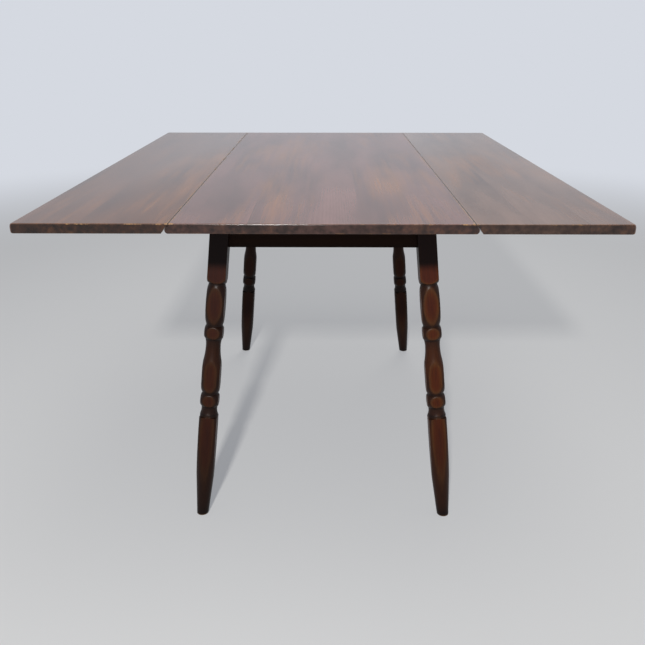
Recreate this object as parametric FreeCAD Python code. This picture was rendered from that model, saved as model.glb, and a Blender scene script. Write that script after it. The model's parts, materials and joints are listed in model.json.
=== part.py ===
import FreeCAD, Part
import math
import os

# Drop-leaf table: a fixed centre panel on a splayed, turned-leg base, with a hinged
# leaf on each side that meets it in a rule joint. Two butterfly wings on each side
# apron swing out on vertical hinges to carry the raised leaf.
# Frame, in millimetres: +X right, +Y away from the front, +Z up, and the origin on the
# floor under the middle of the table. The seams and leaf hinges run along Y.

# ---- top ------------------------------------------------------------------------
table_height = 740.0          # floor to the upper face of the top
top_length = 1245.0           # along the seams
centre_width = 528.0          # seam to seam
leaf_width = 275.0            # seam to the leaf's outer edge
top_thickness = 18.0
edge_round = 2.2              # round-over on the outer arrises of the panels
corner_radius = 6.0           # plan radius at the leaves' outer corners

# ---- rule joint -----------------------------------------------------------------
quirk_depth = 4.5             # square step above the rounded nose
seam_gap = 0.5                # between the two panels at the upper face
cove_gap = 0.6                # between the nose and the leaf's cove
cove_end_angle = 36.0         # degrees above level where the cove runs out into a bevel

# ---- legs -----------------------------------------------------------------------
leg_stock = 40.0              # square stock that the legs are turned from
leg_ease = 1.5                # rounding on the stock's long corners
foot_spread = 19.0            # leg's axis at the floor, outside the seam
foot_inset = 167.5            # and inside the end of the top
splay_x = 5.7                 # degrees the legs lean out towards the leaves
splay_y = 8.5                 # degrees they lean out towards the table's ends

# Turned part of the leg, in order from the floor up, measured along its axis.
foot_radius = 13.2
taper_height = 247.0
knee_height = 130.0           # where the straight taper ends and the belly starts
knee_radius = 22.3
belly_radius = 25.0
taper_top_radius = 24.3
ring_height = 6.0
ring_radius = 20.2
cove_height = 19.0
cove_radius = 17.7
bead_height = 30.0
bead_radius = 24.2
groove_height = 3.0
groove_radius = 18.2
vase_base_height = 28.0
vase_crown_height = 35.0
vase_sweep_height = 44.0
vase_radius = 24.3
vase_crown_fall = 0.3         # how much smaller the crown is where it meets the base
vase_shoulder_radius = 23.1
neck_height = 18.0
neck_radius = 16.3
barrel_height = 89.0
barrel_radius = 25.7
shoulder_height = 15.0        # rounded start of the square block

# ---- aprons and joinery -----------------------------------------------------------
apron_height = 96.0
apron_thickness = 20.0
end_apron_setback = 8.0       # end aprons behind the legs' outer faces
side_apron_setback = 7.0      # side aprons behind the legs' outer faces, at the top
tenon_length = 16.0
tenon_thickness = 8.0
tenon_shoulder = 12.0         # apron above and below the tenon
mortise_clearance = 0.15
mortise_spare = 1.0           # room past the tenon's end

corner_block_side = 95.0
corner_block_height = 38.0

# ---- foot glides ------------------------------------------------------------------
glide_radius = 9.0
glide_thickness = 3.0
glide_bevel = 1.0
glide_nail_radius = 1.2
glide_nail_length = 14.0

# ---- leaf hinges --------------------------------------------------------------------
hinge_inset = 142.5           # outer hinges from the ends of the top
hinge_width = 38.0            # along the seam
hinge_plate = 2.0
hinge_pin_radius = 2.5
pin_fit = 0.05                # radial running clearance on hinge pins
knuckle_end_length = 12.0
knuckle_side_gap = 0.3
knuckle_room = 0.3            # wood clear of the knuckle
fixed_plate_start = 9.0       # from the pin to where each plate lies flush
fixed_plate_length = 32.0
moving_plate_start = 15.0
moving_plate_length = 44.0
recess_clearance = 0.2        # round the edges of a plate in its recess

# ---- butterfly wings ----------------------------------------------------------------
wing_inset = 372.5            # hinge pins from the ends of the top
wing_tip_gap = 90.0           # between the tips of two folded wings
wing_thickness = 16.0
wing_root_height = 92.0
wing_tip_height = 26.0
wing_waist_height = 50.0      # where the hollow of the lower edge meets its belly
wing_waist_share = 0.624      # how far along the wing that is
wing_toe_reach = 30.0         # flat foot of the lower edge beside the hinge
wing_tip_round = 8.0
wing_top_clearance = 0.8      # under the top
wing_gap = 0.4                # folded wing to apron
wing_end_gap = 0.6            # wing's end to the knuckle
wing_hinge_height = 60.0
wing_hinge_drop = 46.0        # underside of the top to the hinge's middle
wing_hinge_plate = 1.6
wing_pin_radius = 2.0
wing_knuckle_end = 18.0
wing_plate_length = 26.0

# ---- screws -------------------------------------------------------------------------
hinge_screw_radius = 1.7
hinge_screw_head = 3.5
hinge_screw_length = 13.0
wing_screw_radius = 1.4
wing_screw_head = 2.9
wing_screw_length = 12.0
block_screw_radius = 2.0
block_screw_head = 4.2
block_screw_head_height = 2.6
block_screw_length = 26.0
block_screw_offset = 70.0     # from the inner corner of the aprons
block_screw_seat = 14.0       # wood between the head and the apron
top_screw_length = 41.0
top_screw_offset = 33.0
top_screw_seat = 10.0         # depth of the counterbore
counterbore_clearance = 0.8
screw_clearance = 0.1
screw_point = 3.0

V = FreeCAD.Vector
AXIS_X = V(1, 0, 0)
AXIS_Y = V(0, 1, 0)
AXIS_Z = V(0, 0, 1)
OVERRUN = 30.0                # how far cutting tools run past what they cut

# ---- places worked out from the sizes ------------------------------------------------
underside = table_height - top_thickness
seam = centre_width / 2
leaf_edge = seam + leaf_width
foot_x = seam + foot_spread
foot_y = top_length / 2 - foot_inset
hinge_y = top_length / 2 - hinge_inset
nose_radius = (top_thickness - quirk_depth) / 2
pivot_z = underside + nose_radius           # leaf hinge axis, also the nose's centre
cove_arc = nose_radius + cove_gap
rake_x = math.tan(math.radians(splay_x))
rake_y = math.tan(math.radians(splay_y))
leg_half = leg_stock / 2
leg_top_x = foot_x - underside * rake_x
leg_top_y = foot_y - underside * rake_y
leg_slant = math.sqrt(1 + rake_x ** 2 + rake_y ** 2)
leg_length = underside * leg_slant
end_apron_y = leg_top_y + leg_half / math.cos(math.radians(splay_y)) - end_apron_setback
side_apron_x = leg_top_x + leg_half / math.cos(math.radians(splay_x)) - side_apron_setback
end_apron_depth = apron_thickness / math.cos(math.radians(splay_y))
knuckle_radius = hinge_pin_radius + pin_fit + hinge_plate
wing_knuckle = wing_pin_radius + pin_fit + wing_hinge_plate
wing_pivot_x = side_apron_x + wing_gap + wing_knuckle
wing_pivot_y = top_length / 2 - wing_inset
wing_reach = wing_pivot_y - wing_tip_gap / 2       # hinge pin to tip
wing_waist_reach = wing_waist_share * wing_reach
wing_hinge_z = underside - wing_hinge_drop

LEGS = {
    "front_left": (-1, -1),
    "front_right": (1, -1),
    "back_left": (-1, 1),
    "back_right": (1, 1),
}
SIDES = {"left": -1, "right": 1}
HINGES = {"front": -hinge_y, "middle": 0.0, "back": hinge_y}
parts = {}


# ---- small helpers --------------------------------------------------------------------
def outline(start, *steps):
    """Closed wire. A step is an end point, or a pair (through, end) for an arc."""
    edges = []
    here = start
    for step in steps:
        if isinstance(step, tuple):
            through, end = step
            edges.append(Part.Arc(here, through, end).toShape())
        else:
            end = step
            edges.append(Part.LineSegment(here, end).toShape())
        here = end
    if (here - start).Length > 1e-6:
        edges.append(Part.LineSegment(here, start).toShape())
    return Part.Wire(edges)


def extruded(wire, direction):
    return Part.Face(wire).extrude(direction)


def revolved(wire):
    return Part.Face(wire).revolve(V(0, 0, 0), AXIS_Z, 360)


def box(low, high):
    size = high - low
    return Part.makeBox(size.x, size.y, size.z, low)


def pointed_at(shape, point, direction):
    """The shape moved so that its own +Z runs along direction from point."""
    moved = shape.copy()
    moved.Placement = FreeCAD.Placement(point, FreeCAD.Rotation(AXIS_Z, direction))
    return moved


def rounded_edges(solid, radius, wanted):
    return solid.makeFillet(radius, [edge for edge in solid.Edges if wanted(edge)])


def joined(shapes):
    return shapes[0].multiFuse(shapes[1:]).removeSplitter()


def single(shape):
    """The one solid inside a boolean's result."""
    return max(shape.Solids, key=lambda solid: solid.Volume)


def mirrored_x(shape, side):
    return shape if side > 0 else shape.mirror(V(0, 0, 0), AXIS_X)


def countersunk(length, radius, head, grow=0.0):
    """Countersunk wood screw along +Z with its head's face at the origin."""
    shank = radius + grow
    sink = head - radius
    end = length + grow
    profile = outline(
        V(0, 0, 0), V(head + grow, 0, 0), V(shank, 0, sink), V(shank, 0, end - screw_point),
        V(0, 0, end))
    return revolved(profile)


def round_head(length, radius, head, head_height):
    """Round-headed screw along +Z with the underside of its head at the origin."""
    crown = 0.75 * head
    profile = outline(
        V(0, 0, -head_height), (V(crown, 0, -0.7 * head_height), V(head, 0, 0)), V(radius, 0, 0),
        V(radius, 0, length - screw_point), V(0, 0, length))
    return revolved(profile)


def hole(point, direction, radius, length):
    return Part.makeCylinder(radius, length, point, direction)


# ---- legs -------------------------------------------------------------------------------
def leg_placement(sign_x, sign_y):
    """Leg's own frame: axis along its +Z, origin where the axis meets the floor."""
    up = V(-sign_x * rake_x, -sign_y * rake_y, 1)
    return FreeCAD.Placement(
        V(sign_x * foot_x, sign_y * foot_y, 0), FreeCAD.Rotation(AXIS_Z, up))


def leg_frame_box(sign_x, sign_y, inward_x, inward_y):
    """Box in a leg's frame. Each range is measured inwards from the leg's axis."""
    xs = sorted(-sign_x * value for value in inward_x)
    ys = sorted(-sign_y * value for value in inward_y)
    solid = box(V(xs[0], ys[0], 0), V(xs[1], ys[1], leg_length + OVERRUN))
    solid.Placement = leg_placement(sign_x, sign_y)
    return solid


def leg_prism(sign_x, sign_y):
    """The square stock of one leg in place, before turning."""
    across = (-leg_half, leg_half)
    return leg_frame_box(sign_x, sign_y, across, across)


def turned_profile():
    """Half section of the turning, from below the floor to above the top."""
    ring = taper_height
    cove = ring + ring_height
    lower_bead = cove + cove_height
    vase = lower_bead + bead_height + groove_height
    crown = vase + vase_base_height
    sweep = crown + vase_crown_height
    neck = sweep + vase_sweep_height
    upper_bead = neck + neck_height
    barrel = upper_bead + bead_height + groove_height
    block = barrel + barrel_height + groove_height
    outer = leg_half * math.sqrt(2) + 1.0
    crown_start = vase_radius - vase_crown_fall
    sweep_waist = (0.36 * vase_shoulder_radius) + (0.64 * neck_radius)
    end = leg_length + OVERRUN
    below_foot = foot_radius - OVERRUN * (knee_radius - foot_radius) / knee_height
    return outline(
        V(0, 0, -OVERRUN),
        V(below_foot, 0, -OVERRUN),
        V(foot_radius, 0, 0),
        V(knee_radius, 0, knee_height),
        (V(belly_radius, 0, (knee_height + taper_height) / 2), V(taper_top_radius, 0, ring)),
        V(ring_radius, 0, ring),
        V(ring_radius, 0, cove),
        (V(cove_radius, 0, cove + cove_height / 2), V(groove_radius, 0, lower_bead)),
        (V(bead_radius, 0, lower_bead + bead_height / 2),
         V(groove_radius, 0, lower_bead + bead_height)),
        V(groove_radius, 0, vase),
        (V((groove_radius + 2 * vase_radius) / 3, 0, vase + 0.35 * vase_base_height),
         V(crown_start, 0, crown)),
        (V(vase_radius, 0, crown + 0.4 * vase_crown_height), V(vase_shoulder_radius, 0, sweep)),
        (V(sweep_waist, 0, sweep + 0.42 * vase_sweep_height), V(neck_radius, 0, neck)),
        (V(neck_radius + 0.5, 0, neck + 0.6 * neck_height), V(groove_radius, 0, upper_bead)),
        (V(bead_radius, 0, upper_bead + bead_height / 2),
         V(groove_radius, 0, upper_bead + bead_height)),
        V(groove_radius, 0, barrel),
        (V(barrel_radius, 0, barrel + barrel_height / 2),
         V(groove_radius, 0, barrel + barrel_height)),
        V(groove_radius, 0, block),
        (V((2 * groove_radius + 3 * outer) / 5, 0, block + 0.4 * shoulder_height),
         V(outer, 0, block + shoulder_height)),
        V(outer, 0, end),
        V(0, 0, end))


def turned_leg():
    """Leg in its own frame. The turning is wider than the stock in its full parts, so
    flat ovals of the square stock stay on the belly, beads, vase and barrel."""
    turning = revolved(turned_profile())
    stock = box(V(-leg_half, -leg_half, -OVERRUN), V(leg_half, leg_half, leg_length + OVERRUN))
    stock = rounded_edges(stock, leg_ease, lambda edge: abs(edge.tangentAt(edge.FirstParameter).z) > 0.9)
    return single(turning.common(stock))


# ---- aprons -------------------------------------------------------------------------------
def end_apron_bar(sign_y, thickness, top, bottom, half_length):
    """Bar along X, parallel to the splayed legs' outer faces, centred in the end apron."""
    middle = end_apron_y - end_apron_depth / 2
    half = thickness / math.cos(math.radians(splay_y)) / 2

    def corner(offset, height):
        return V(-half_length, sign_y * (middle + offset + (underside - height) * rake_y), height)

    section = outline(corner(half, top), corner(half, bottom), corner(-half, bottom), corner(-half, top))
    return extruded(section, V(2 * half_length, 0, 0))


def side_apron_bar(sign_x, thickness, top, bottom, half_length):
    """Upright bar along Y, centred in the side apron."""
    middle = sign_x * (side_apron_x - apron_thickness / 2)
    return box(
        V(middle - thickness / 2, -half_length, bottom), V(middle + thickness / 2, half_length, top))


def apron_with_tenons(bar, reach, corners, lengthwise):
    """Board cut to the legs' faces, with a tenon into each leg, and the two mortises."""
    apron_bottom = underside - apron_height
    tenon_top = underside - tenon_shoulder
    tenon_bottom = apron_bottom + tenon_shoulder
    board = bar(apron_thickness, underside, apron_bottom, reach)
    tongue = bar(tenon_thickness, tenon_top, tenon_bottom, reach)
    slot = bar(tenon_thickness + 2 * mortise_clearance, tenon_top + mortise_clearance,
               tenon_bottom - mortise_clearance, reach)
    wide = (-leg_stock, leg_stock)
    pieces = []
    mortises = {}
    for sign_x, sign_y in corners:
        board = board.cut(leg_prism(sign_x, sign_y))
        inside = (leg_half - tenon_length, leg_half)
        room = (leg_half - tenon_length - mortise_spare, leg_half + mortise_spare)
        if lengthwise:
            socket = leg_frame_box(sign_x, sign_y, wide, inside)
            space = leg_frame_box(sign_x, sign_y, wide, room)
        else:
            socket = leg_frame_box(sign_x, sign_y, inside, wide)
            space = leg_frame_box(sign_x, sign_y, room, wide)
        pieces.append(single(tongue.common(socket)))
        mortises[(sign_x, sign_y)] = single(slot.common(space))
    return joined([single(board)] + pieces), mortises


def base_frame():
    """Legs, aprons and corner blocks."""
    cuts = {corner: [] for corner in LEGS.values()}
    for name, sign_y in (("front", -1), ("back", 1)):
        corners = [(-1, sign_y), (1, sign_y)]
        apron, mortises = apron_with_tenons(
            lambda *sizes, sign=sign_y: end_apron_bar(sign, *sizes), leg_top_x, corners, False)
        parts["apron_" + name] = apron
        for corner, mortise in mortises.items():
            cuts[corner].append(mortise)
    for name, sign_x in SIDES.items():
        corners = [(sign_x, -1), (sign_x, 1)]
        apron, mortises = apron_with_tenons(
            lambda *sizes, sign=sign_x: side_apron_bar(sign, *sizes), leg_top_y, corners, True)
        parts["apron_" + name] = apron
        for corner, mortise in mortises.items():
            cuts[corner].append(mortise)

    blank = turned_leg()
    reach = foot_x + foot_y + OVERRUN
    level = box(V(-reach, -reach, glide_thickness), V(reach, reach, underside))
    for name, corner in LEGS.items():
        leg = blank.copy()
        leg.Placement = leg_placement(*corner)
        leg = leg.common(level)
        for mortise in cuts[corner]:
            leg = leg.cut(mortise)
        nail_start = V(corner[0] * foot_x, corner[1] * foot_y, 0)
        leg = leg.cut(hole(nail_start, AXIS_Z, glide_nail_radius + screw_clearance,
                           glide_thickness + glide_nail_length + screw_clearance))
        parts["leg_" + name] = single(leg)
        parts["foot_glide_" + name] = foot_glide(nail_start)


def foot_glide(point):
    profile = outline(
        V(0, 0, 0), V(glide_radius - glide_bevel, 0, 0), V(glide_radius, 0, glide_bevel),
        V(glide_radius, 0, glide_thickness), V(glide_nail_radius, 0, glide_thickness),
        V(glide_nail_radius, 0, glide_thickness + glide_nail_length - screw_point),
        V(0, 0, glide_thickness + glide_nail_length))
    return pointed_at(revolved(profile), point, AXIS_Z)


def corner_blocks():
    """Triangular blocks glued and screwed into the aprons' corners, and their screws."""
    side_screws = []
    top_screws = []
    inner_x = side_apron_x - apron_thickness
    inner_y = end_apron_y - end_apron_depth
    block_bottom = underside - corner_block_height
    middle_z = underside - corner_block_height / 2
    buried = apron_thickness / 2
    for name, (sign_x, sign_y) in LEGS.items():
        def at(x, y, z):
            return V(sign_x * x, sign_y * y, z)

        plan = outline(
            at(inner_x, inner_y + buried, block_bottom),
            at(inner_x - corner_block_side, inner_y + buried, block_bottom),
            at(inner_x - corner_block_side, inner_y, block_bottom),
            at(inner_x, inner_y - corner_block_side, block_bottom))
        block = extruded(plan, V(0, 0, corner_block_height))
        end_apron = parts["apron_front" if sign_y < 0 else "apron_back"]
        block = single(block.cut(end_apron).cut(leg_prism(sign_x, sign_y)))

        lean = (underside - middle_z) * rake_y
        seats = {
            "end": (at(inner_x - block_screw_offset, inner_y + lean - block_screw_seat, middle_z),
                    V(0, sign_y, 0)),
            "side": (at(inner_x - block_screw_seat, inner_y - block_screw_offset, middle_z),
                     V(sign_x, 0, 0)),
        }
        bore = block_screw_head + counterbore_clearance
        aprons = {"end": "apron_front" if sign_y < 0 else "apron_back",
                  "side": "apron_left" if sign_x < 0 else "apron_right"}
        for face, (seat, inwards) in seats.items():
            pilot = hole(seat, inwards, block_screw_radius + screw_clearance,
                         block_screw_length + screw_clearance)
            block = block.cut(hole(seat, -inwards, bore, corner_block_side)).cut(pilot)
            parts[aprons[face]] = parts[aprons[face]].cut(pilot)
            screw = round_head(
                block_screw_length, block_screw_radius, block_screw_head, block_screw_head_height)
            side_screws.append(pointed_at(screw, seat, inwards))

        seat = at(inner_x - top_screw_offset, inner_y - top_screw_offset, block_bottom + top_screw_seat)
        pilot = hole(seat, AXIS_Z, block_screw_radius + screw_clearance,
                     top_screw_length + screw_clearance)
        block = block.cut(hole(seat, -AXIS_Z, bore, corner_block_height)).cut(pilot)
        parts["top_centre"] = parts["top_centre"].cut(pilot)
        screw = round_head(
            top_screw_length, block_screw_radius, block_screw_head, block_screw_head_height)
        top_screws.append(pointed_at(screw, seat, AXIS_Z))
        parts["corner_block_" + name] = single(block)
    parts["corner_block_screws"] = Part.makeCompound(side_screws)
    parts["tabletop_screws"] = Part.makeCompound(top_screws)


# ---- top and leaves -------------------------------------------------------------------------
def centre_panel():
    """Fixed panel with the rounded nose of a rule joint along both seams."""
    half = top_length / 2
    quirk_z = table_height - quirk_depth
    section = outline(
        V(-seam, -half, table_height), V(seam, -half, table_height), V(seam, -half, quirk_z),
        (V(seam + nose_radius, -half, pivot_z), V(seam, -half, underside)),
        V(-seam, -half, underside),
        (V(-seam - nose_radius, -half, pivot_z), V(-seam, -half, quirk_z)))
    panel = extruded(section, V(0, top_length, 0))
    slab = box(V(-leaf_edge, -half, underside), V(leaf_edge, half, table_height))
    slab = rounded_edges(slab, edge_round, lambda edge: abs(edge.tangentAt(edge.FirstParameter).x) > 0.9)
    return single(panel.common(slab))


def leaf_panel():
    """Right-hand leaf, with a lip, cove and bevel that fold round the centre's nose."""
    half = top_length / 2
    lip = seam + seam_gap
    lip_z = pivot_z + math.sqrt(cove_arc ** 2 - seam_gap ** 2)
    turn = math.radians(cove_end_angle)
    halfway = math.radians((cove_end_angle + 90) / 2)
    cove_end = V(seam + cove_arc * math.cos(turn), -half, pivot_z + cove_arc * math.sin(turn))
    fall = cove_end.z - underside
    bevel_x = cove_end.x + fall * math.tan(turn)
    section = outline(
        V(lip, -half, table_height), V(lip, -half, lip_z),
        (V(seam + cove_arc * math.cos(halfway), -half, pivot_z + cove_arc * math.sin(halfway)), cove_end),
        V(bevel_x, -half, underside), V(leaf_edge, -half, underside), V(leaf_edge, -half, table_height))
    panel = extruded(section, V(0, top_length, 0))
    slab = box(V(0, -half, underside), V(leaf_edge, half, table_height))

    def outer_corner(edge):
        upright = abs(edge.tangentAt(edge.FirstParameter).z) > 0.9
        return upright and edge.CenterOfMass.x > seam

    def outer_arris(edge):
        flat = edge.BoundBox.ZLength < 1e-6
        return flat and edge.BoundBox.XMax > 1e-3

    slab = rounded_edges(slab, corner_radius, outer_corner)
    slab = rounded_edges(slab, edge_round, outer_arris)
    return single(panel.common(slab))


# ---- hinges -----------------------------------------------------------------------------------
def knuckle_spans(width, end_length):
    """Lengthwise spans of a three-knuckle hinge: its two ends and its middle."""
    half = width / 2
    ends = [(-half, -half + end_length), (half - end_length, half)]
    middle = (-half + end_length + knuckle_side_gap, half - end_length - knuckle_side_gap)
    return ends, middle


def leaf_hinge_plate(direction, start, length, own, other):
    """One cranked plate of a leaf hinge, in the pin's frame: u outwards, w up, Y along.
    The knuckle lies above the plate, and the plate folds down past its partner."""
    flush = -nose_radius
    tangent = -knuckle_radius
    half = hinge_width / 2

    def at(u, w):
        return V(direction * u, -half, w)

    section = outline(
        at(0, tangent), at(start, tangent), at(start, flush), at(start + length, flush),
        at(start + length, flush + hinge_plate), at(start + hinge_plate, flush + hinge_plate),
        at(start + hinge_plate, tangent + hinge_plate), at(0, tangent + hinge_plate))
    plate = extruded(section, V(0, hinge_width, 0))
    clear = knuckle_radius * math.sqrt(2) + 2 * knuckle_side_gap
    for low, high in other:
        plate = plate.cut(hole(V(0, low - knuckle_side_gap, 0), AXIS_Y, clear,
                               high - low + 2 * knuckle_side_gap))
    rings = [hole(V(0, low, 0), AXIS_Y, knuckle_radius, high - low) for low, high in own]
    plate = joined([plate] + rings)
    bore = hole(V(0, -half - 1, 0), AXIS_Y, hinge_pin_radius + pin_fit, hinge_width + 2)
    return single(plate.cut(bore))


def plate_screw_places(direction, start, length):
    """Two screws near the knuckle and one at the plate's far end."""
    near = start + hinge_plate + 2 * hinge_screw_head
    far = start + length - 1.6 * hinge_screw_head
    side = hinge_width / 2 - 2 * hinge_screw_head
    return [V(direction * near, -side, 0), V(direction * near, side, 0), V(direction * far, 0, 0)]


def leaf_hinges():
    """Three cranked hinges a side, let into the underside on the rule joint's centre."""
    ends, middle = knuckle_spans(hinge_width, knuckle_end_length)
    plates = {
        "fixed": leaf_hinge_plate(-1, fixed_plate_start, fixed_plate_length, ends, [middle]),
        "moving": leaf_hinge_plate(1, moving_plate_start, moving_plate_length, [middle], ends),
    }
    layout = {
        "fixed": (-1, fixed_plate_start, fixed_plate_length),
        "moving": (1, moving_plate_start, moving_plate_length),
    }
    screw = countersunk(hinge_screw_length, hinge_screw_radius, hinge_screw_head)
    sink = countersunk(hinge_screw_length, hinge_screw_radius, hinge_screw_head, screw_clearance)
    pin = hole(V(0, -hinge_width / 2, 0), AXIS_Y, hinge_pin_radius, hinge_width)
    for kind, plate in plates.items():
        for place in plate_screw_places(*layout[kind]):
            plate = plate.cut(pointed_at(sink, place + V(0, 0, -nose_radius), AXIS_Z))
        plates[kind] = single(plate)

    half = hinge_width / 2 + recess_clearance
    for side_name, side in SIDES.items():
        wood = {"fixed": "top_centre", "moving": "leaf_" + side_name}
        screws = {"fixed": [], "moving": []}
        pins = []
        for hinge_name, along in HINGES.items():
            origin = V(seam, along, pivot_z)
            pins.append(mirrored_x(pin.translated(origin), side))
            pocket_top = pivot_z + knuckle_radius + knuckle_room
            pocket = box(
                V(seam - knuckle_radius - knuckle_room, along - half, underside - 1),
                V(seam + nose_radius + 1, along + half, pocket_top))
            parts["top_centre"] = parts["top_centre"].cut(mirrored_x(pocket, side))
            for kind, (direction, start, length) in layout.items():
                crank = start + hinge_plate + recess_clearance
                end = start + length + recess_clearance
                steps = [(crank, pivot_z - knuckle_radius + hinge_plate), (end, underside + hinge_plate)]
                target = wood[kind]
                for reach, depth in steps:
                    inner = min(seam, seam + direction * reach)
                    outer = max(seam, seam + direction * reach)
                    recess = box(V(inner, along - half, underside - 1), V(outer, along + half, depth))
                    parts[target] = parts[target].cut(mirrored_x(recess, side))
                for place in plate_screw_places(direction, start, length):
                    point = V(seam + place.x, along + place.y, underside)
                    pilot = hole(point, AXIS_Z, hinge_screw_radius + screw_clearance,
                                 hinge_screw_length + screw_clearance)
                    parts[target] = parts[target].cut(mirrored_x(pilot, side))
                    screws[kind].append(mirrored_x(pointed_at(screw, point, AXIS_Z), side))
                name = "leaf_hinge_{}_{}_{}".format(kind, side_name, hinge_name)
                parts[name] = mirrored_x(plates[kind].translated(origin), side)
        parts["leaf_hinge_pins_" + side_name] = Part.makeCompound(pins)
        for kind in layout:
            parts["leaf_hinge_screws_{}_{}".format(kind, side_name)] = Part.makeCompound(screws[kind])
        for name in ("top_centre", "leaf_" + side_name):
            parts[name] = single(parts[name])


# ---- butterfly wings ------------------------------------------------------------------------------
def wing_board():
    """Folded wing in the pin's frame: Y away from the pin along the board, X outwards."""
    start = wing_knuckle + wing_end_gap
    top = underside - wing_top_clearance
    back = -wing_knuckle
    root = top - wing_root_height
    waist = V(back, wing_waist_reach, top - wing_waist_height)
    toe = V(back, wing_toe_reach, root)
    tip_low = V(back, wing_reach, top - wing_tip_height)
    hollow = V(back, (wing_waist_reach + wing_reach) / 2 - 0.08 * wing_reach,
               top - (wing_waist_height + wing_tip_height) / 2 + 0.12 * wing_root_height)
    belly = V(back, (wing_waist_reach + wing_toe_reach) / 2 + 0.06 * wing_reach,
              top - (wing_waist_height + wing_root_height) / 2 - 0.1 * wing_root_height)
    profile = outline(
        V(back, start, root), V(back, start, top), V(back, wing_reach, top), tip_low,
        (hollow, waist), (belly, toe))
    board = extruded(profile, V(wing_thickness, 0, 0))

    def tip_corner(edge):
        across = abs(edge.tangentAt(edge.FirstParameter).x) > 0.9
        return across and abs(edge.CenterOfMass.y - wing_reach) < 1e-3 and edge.CenterOfMass.z < top - 1

    return rounded_edges(board, wing_tip_round, tip_corner)


def wing_plate(sign, offset, own, other):
    """One plate of a wing hinge in the pin's frame, running along sign x Y from the pin."""
    back = -wing_knuckle - offset
    half = wing_hinge_height / 2
    length = sign * wing_plate_length
    low = V(back, min(0, length), -half)
    plate = box(low, V(back + wing_hinge_plate, max(0, length), half))
    clear = wing_knuckle + knuckle_side_gap
    for start, end in other:
        plate = plate.cut(hole(V(0, 0, start - knuckle_side_gap), AXIS_Z, clear,
                               end - start + 2 * knuckle_side_gap))
    rings = [hole(V(0, 0, start), AXIS_Z, wing_knuckle, end - start) for start, end in own]
    plate = joined([plate] + rings)
    bore = hole(V(0, 0, -half - 1), AXIS_Z, wing_pin_radius + pin_fit, wing_hinge_height + 2)
    return single(plate.cut(bore))


def wings():
    """Four butterfly wings, each on an upright butt hinge on a side apron."""
    ends, middle = knuckle_spans(wing_hinge_height, wing_knuckle_end)
    board = wing_board().translated(V(0, 0, -wing_hinge_z))
    plates = {
        "fixed": wing_plate(-1, wing_gap, ends, [middle]),
        "moving": wing_plate(1, 0.0, [middle], ends),
    }
    half = wing_hinge_height / 2
    recess = box(
        V(-wing_knuckle - 1, 0, -half - recess_clearance),
        V(-wing_knuckle + wing_hinge_plate, wing_plate_length + recess_clearance, half + recess_clearance))
    board = board.cut(recess)
    pin = hole(V(0, 0, -half), AXIS_Z, wing_pin_radius, wing_hinge_height)
    screw = countersunk(wing_screw_length, wing_screw_radius, wing_screw_head)
    sink = countersunk(wing_screw_length, wing_screw_radius, wing_screw_head, screw_clearance)
    middle_y = (wing_knuckle + wing_plate_length) / 2
    rows = [-half + 3 * wing_screw_head, 0.0, half - 3 * wing_screw_head]
    moving_screws = []
    fixed_screws = []
    for row in rows:
        # The moving plate is screwed from the apron's side, the fixed one from outside.
        out = V(-wing_knuckle, middle_y, row)
        moving_screws.append(pointed_at(screw, out, AXIS_X))
        moving_sink = pointed_at(sink, out, AXIS_X)
        plates["moving"] = plates["moving"].cut(moving_sink)
        board = board.cut(hole(out, AXIS_X, wing_screw_radius + screw_clearance,
                               wing_screw_length + screw_clearance))
        face = V(-wing_knuckle - wing_gap + wing_hinge_plate, -middle_y, row)
        fixed_screws.append((face, pointed_at(screw, face, -AXIS_X)))
        plates["fixed"] = plates["fixed"].cut(pointed_at(sink, face, -AXIS_X))
    board = single(board)
    moving_group = Part.makeCompound(moving_screws)

    all_pins = []
    all_fixed = []
    for name, (sign_x, sign_y) in LEGS.items():
        def placed(shape):
            """From the pin's frame, with Y towards the table's middle, to the table."""
            shown = shape if sign_y < 0 else shape.mirror(V(0, 0, 0), AXIS_Y)
            shown = shown.translated(V(wing_pivot_x, sign_y * wing_pivot_y, wing_hinge_z))
            return mirrored_x(shown, sign_x)

        parts["wing_" + name] = placed(board)
        parts["wing_hinge_moving_" + name] = placed(plates["moving"])
        parts["wing_hinge_fixed_" + name] = placed(plates["fixed"])
        parts["wing_screws_" + name] = placed(moving_group)
        all_pins.append(placed(pin))
        apron = "apron_left" if sign_x < 0 else "apron_right"
        for face, fixed in fixed_screws:
            all_fixed.append(placed(fixed))
            pilot = hole(face, -AXIS_X, wing_screw_radius + screw_clearance,
                         wing_screw_length + screw_clearance)
            parts[apron] = parts[apron].cut(placed(pilot))
        parts[apron] = single(parts[apron])
    parts["wing_hinge_pins"] = Part.makeCompound(all_pins)
    parts["wing_hinge_screws"] = Part.makeCompound(all_fixed)


def main():
    parts["top_centre"] = centre_panel()
    right_leaf = leaf_panel()
    for name, side in SIDES.items():
        parts["leaf_" + name] = mirrored_x(right_leaf, side)
    base_frame()
    corner_blocks()
    leaf_hinges()
    wings()
    os.makedirs("parts", exist_ok=True)
    for name, shape in parts.items():
        shape.exportStep("parts/" + name + ".step")


main()
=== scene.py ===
import cmath
import json
import math

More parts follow.
